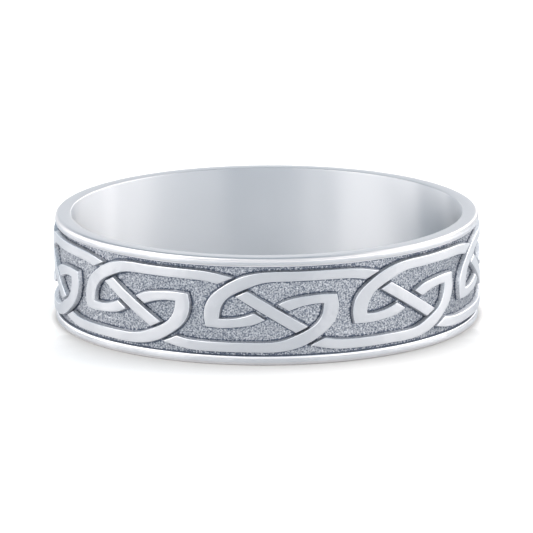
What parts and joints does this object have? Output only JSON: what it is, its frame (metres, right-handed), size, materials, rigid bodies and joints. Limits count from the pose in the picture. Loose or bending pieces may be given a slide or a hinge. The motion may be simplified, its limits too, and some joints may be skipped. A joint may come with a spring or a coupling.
{
  "type": "wedding band with a raised knot pattern",
  "caption": "Plain-bored metal finger ring with two smooth rims and a band of raised interlaced knotwork on a sunk stippled field.",
  "frame": {"origin": "centre of the side face that the ring lies on", "axes": "+Z along the ring's axis, up from the face it lies on; the middle of one knot faces -Y"},
  "size_m": [0.02, 0.02, 0.005],
  "materials": {
    "polished_silver": "polished rims, bore and strand tops; sunk field stippled and darkened"
  },
  "bodies": {
    "root": {"band": "polished_silver"}
  },
  "joints": []
}
